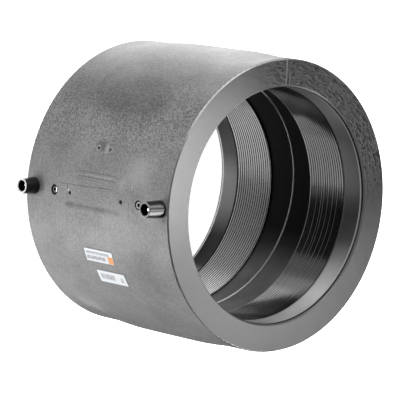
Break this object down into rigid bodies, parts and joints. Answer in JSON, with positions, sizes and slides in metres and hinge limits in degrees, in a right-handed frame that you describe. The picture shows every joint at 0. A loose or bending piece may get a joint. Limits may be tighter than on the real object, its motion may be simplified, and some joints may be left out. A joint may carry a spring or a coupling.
{
  "type": "electrofusion coupler",
  "caption": "Thick-walled plastic sleeve that welds pipe ends together, with wire-wound sockets, shrouded terminals, fusion indicators and paper labels.",
  "frame": {"origin": "on the coupler's axis, half way between its mouths, where the pipe ends meet", "axes": "+Z along the coupler's axis, out of the front mouth; -Y out along the terminals; +X towards the labels"},
  "size_m": [0.2536, 0.2684, 0.185],
  "materials": {
    "body_plastic": "grained",
    "wire_jacket": "satin",
    "pin_brass": "bright",
    "shroud_plastic": "gloss",
    "indicator_plastic": "satin",
    "label_paper": "paper"
  },
  "bodies": {
    "root": {"coupler_body": "body_plastic", "heating_wire": "wire_jacket", "terminal_pin_front": "pin_brass", "terminal_pin_rear": "pin_brass", "terminal_shroud_front": "shroud_plastic", "terminal_shroud_rear": "shroud_plastic", "fusion_indicator_front": "indicator_plastic", "fusion_indicator_rear": "indicator_plastic", "product_label": "label_paper", "trace_label": "label_paper"}
  },
  "joints": []
}
